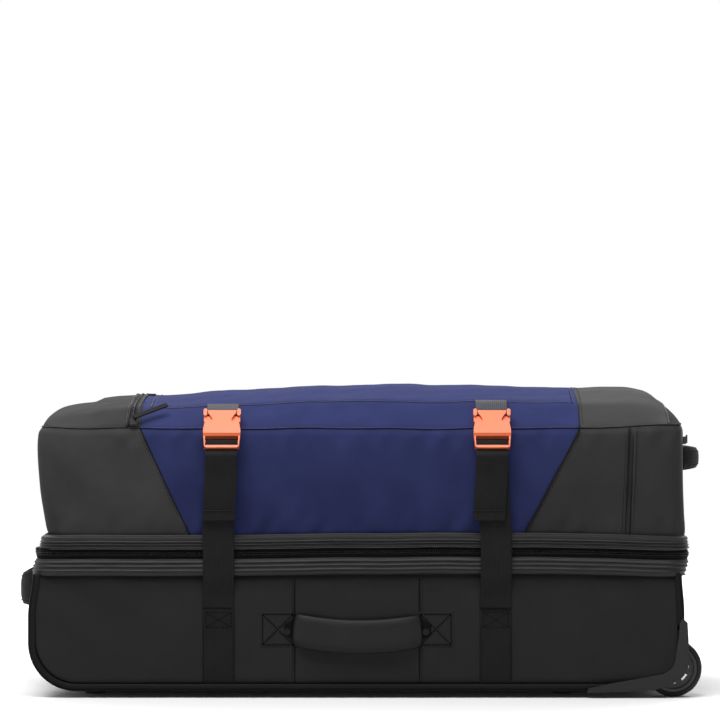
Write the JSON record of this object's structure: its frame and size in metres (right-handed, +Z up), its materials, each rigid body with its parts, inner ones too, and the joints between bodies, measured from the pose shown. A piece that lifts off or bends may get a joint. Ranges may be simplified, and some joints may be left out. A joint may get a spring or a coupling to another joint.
{
  "type": "rolling duffel bag",
  "caption": "Wheeled split-level duffel bag: a rigid-edged lower compartment and a soft upper one zipped together, with clip straps, grab handles and a trolley handle.",
  "frame": {"origin": "on the floor, under the middle of the bounding box", "axes": "+X along the bag from the trolley handle end to the wheel end, +Y from the side with the carry handle to the hinged side, +Z up; the bag lies on its back panel"},
  "size_m": [0.83, 0.4032, 0.3694],
  "materials": {
    "coated_black": "matte coated fabric",
    "nylon_black": "matte woven fabric",
    "nylon_blue": "fine twill fabric",
    "band_black": "ribbed zip tape",
    "webbing_black": "flat webbing",
    "webbing_grey": "flat webbing",
    "piping_black": "bound edge",
    "lining_grey": "lining",
    "buckle_orange": "satin moulded plastic",
    "moulded_black": "grained moulded plastic",
    "board_black": "pressed board",
    "hub_black": "smooth moulded plastic",
    "tyre_black": "matte",
    "steel": "plated",
    "zip_metal": "gunmetal",
    "tube_aluminium": "anodised"
  },
  "bodies": {
    "lower": {"lower_gusset": "coated_black", "lower_side_near": "coated_black", "lower_side_far": "coated_black", "piping": "piping_black", "lower_zip_band": "band_black", "lower_zip_tape": "band_black", "hinge_tape": "band_black", "back_panel": "board_black", "skid_feet": "moulded_black", "false_floor": "lining_grey", "wheel_housing_near": "moulded_black", "wheel_housing_far": "moulded_black", "axle_bolts": "steel", "outer_tubes": "tube_aluminium", "tube_bracket": "moulded_black", "handle_bezel": "moulded_black", "bezel_screws": "steel", "side_handle": "webbing_black", "side_handle_patches": "webbing_black", "side_handle_rivets": "zip_metal", "pull_end_handle": "webbing_black", "strap_anchors": "webbing_black"},
    "upper": {"upper_centre_panels": "nylon_blue", "upper_pull_end": "nylon_black", "quick_pocket_panel": "nylon_black", "upper_wheel_end": "nylon_black", "divider_panel": "lining_grey", "upper_zip_band": "band_black", "upper_zip_tape": "band_black", "buckle_plugs": "buckle_orange", "plug_webbing": "webbing_grey", "wheel_end_handle": "webbing_black", "end_pocket_zip": "band_black", "quick_pocket_zip": "band_black", "flap_zip": "band_black"},
    "flap": {"top_flap": "nylon_blue"},
    "near_left_strap": {"strap_near_left": "webbing_black", "socket_near_left": "buckle_orange"},
    "near_right_strap": {"strap_near_right": "webbing_black", "socket_near_right": "buckle_orange"},
    "far_left_strap": {"strap_far_left": "webbing_black", "socket_far_left": "buckle_orange"},
    "far_right_strap": {"strap_far_right": "webbing_black", "socket_far_right": "buckle_orange"},
    "near_wheel": {"tyre_near": "tyre_black", "hub_near": "hub_black", "bearings_near": "steel"},
    "far_wheel": {"tyre_far": "tyre_black", "hub_far": "hub_black", "bearings_far": "steel"},
    "trolley_middle": {"middle_tubes": "tube_aluminium"},
    "trolley_inner": {"inner_tubes": "tube_aluminium", "grip": "moulded_black"},
    "trolley_button": {"release_button": "moulded_black"},
    "near_split_slider": {"split_slider_near": "zip_metal"},
    "far_split_slider": {"split_slider_far": "zip_metal"},
    "pocket_slider": {"quick_pocket_slider": "zip_metal"},
    "pocket_pull": {"quick_pocket_pull": "webbing_grey"},
    "end_slider": {"end_pocket_slider": "zip_metal"},
    "top_slider": {"flap_slider": "zip_metal"}
  },
  "joints": [
    {"name": "lid_hinge", "type": "hinge", "parent": "lower", "child": "upper", "pos_m": [0, 0.1888, 0.168], "axis": [-1, 0, 0], "range_deg": [0, 100], "deforming": ["hinge_tape"]},
    {"name": "flap_hinge", "type": "hinge", "parent": "upper", "child": "flap", "pos_m": [0, 0.1352, 0.3505], "axis": [-1, 0, 0], "range_deg": [0, 110]},
    {"name": "near_left_strap_swing", "type": "hinge", "parent": "lower", "child": "near_left_strap", "pos_m": [-0.163, -0.1834, 0.105], "axis": [1, 0, 0], "range_deg": [0, 110]},
    {"name": "near_right_strap_swing", "type": "hinge", "parent": "lower", "child": "near_right_strap", "pos_m": [0.156, -0.1834, 0.105], "axis": [1, 0, 0], "range_deg": [0, 110]},
    {"name": "far_left_strap_swing", "type": "hinge", "parent": "lower", "child": "far_left_strap", "pos_m": [-0.163, 0.1834, 0.105], "axis": [-1, 0, 0], "range_deg": [0, 110]},
    {"name": "far_right_strap_swing", "type": "hinge", "parent": "lower", "child": "far_right_strap", "pos_m": [0.156, 0.1834, 0.105], "axis": [-1, 0, 0], "range_deg": [0, 110]},
    {"name": "near_wheel_spin", "type": "hinge", "parent": "lower", "child": "near_wheel", "pos_m": [0.371, -0.156, 0.034], "axis": [0, 1, 0], "continuous": true},
    {"name": "far_wheel_spin", "type": "hinge", "parent": "lower", "child": "far_wheel", "pos_m": [0.371, 0.156, 0.034], "axis": [0, 1, 0], "continuous": true},
    {"name": "trolley_middle_slide", "type": "slide", "parent": "lower", "child": "trolley_middle", "axis": [-1, 0, 0], "range_m": [0, 0.3]},
    {"name": "trolley_inner_slide", "type": "slide", "parent": "trolley_middle", "child": "trolley_inner", "axis": [-1, 0, 0], "range_m": [0, 0.33]},
    {"name": "trolley_button_press", "type": "slide", "parent": "trolley_inner", "child": "trolley_button", "axis": [1, 0, 0], "range_m": [0, 0.004], "stiffness_N_per_m": 600, "springref_m": -0.002},
    {"name": "near_split_slider_slide", "type": "slide", "parent": "lower", "child": "near_split_slider", "axis": [0, -1, 0], "range_m": [0, 0.12]},
    {"name": "far_split_slider_slide", "type": "slide", "parent": "lower", "child": "far_split_slider", "axis": [0, 1, 0], "range_m": [0, 0.12]},
    {"name": "pocket_slider_slide", "type": "slide", "parent": "upper", "child": "pocket_slider", "axis": [0, 0.7314, 0.682], "range_m": [0, 0.015]},
    {"name": "pocket_pull_swing", "type": "hinge", "parent": "pocket_slider", "child": "pocket_pull", "pos_m": [-0.268, -0.17404, 0.33132], "axis": [0.53, -0.6773, -0.5104], "range_deg": [0, 140]},
    {"name": "end_slider_slide", "type": "slide", "parent": "upper", "child": "end_slider", "axis": [0, 1, 0], "range_m": [0, 0.2]},
    {"name": "top_slider_slide", "type": "slide", "parent": "upper", "child": "top_slider", "axis": [0, 1, 0], "range_m": [-0.1, 0.1]}
  ],
  "couplings": [
    {"joint": "near_left_strap_swing", "follows": "lid_hinge", "ratio": 1.1},
    {"joint": "near_right_strap_swing", "follows": "lid_hinge", "ratio": 1.1},
    {"joint": "far_left_strap_swing", "follows": "lid_hinge", "ratio": 1.1},
    {"joint": "far_right_strap_swing", "follows": "lid_hinge", "ratio": 1.1}
  ]
}
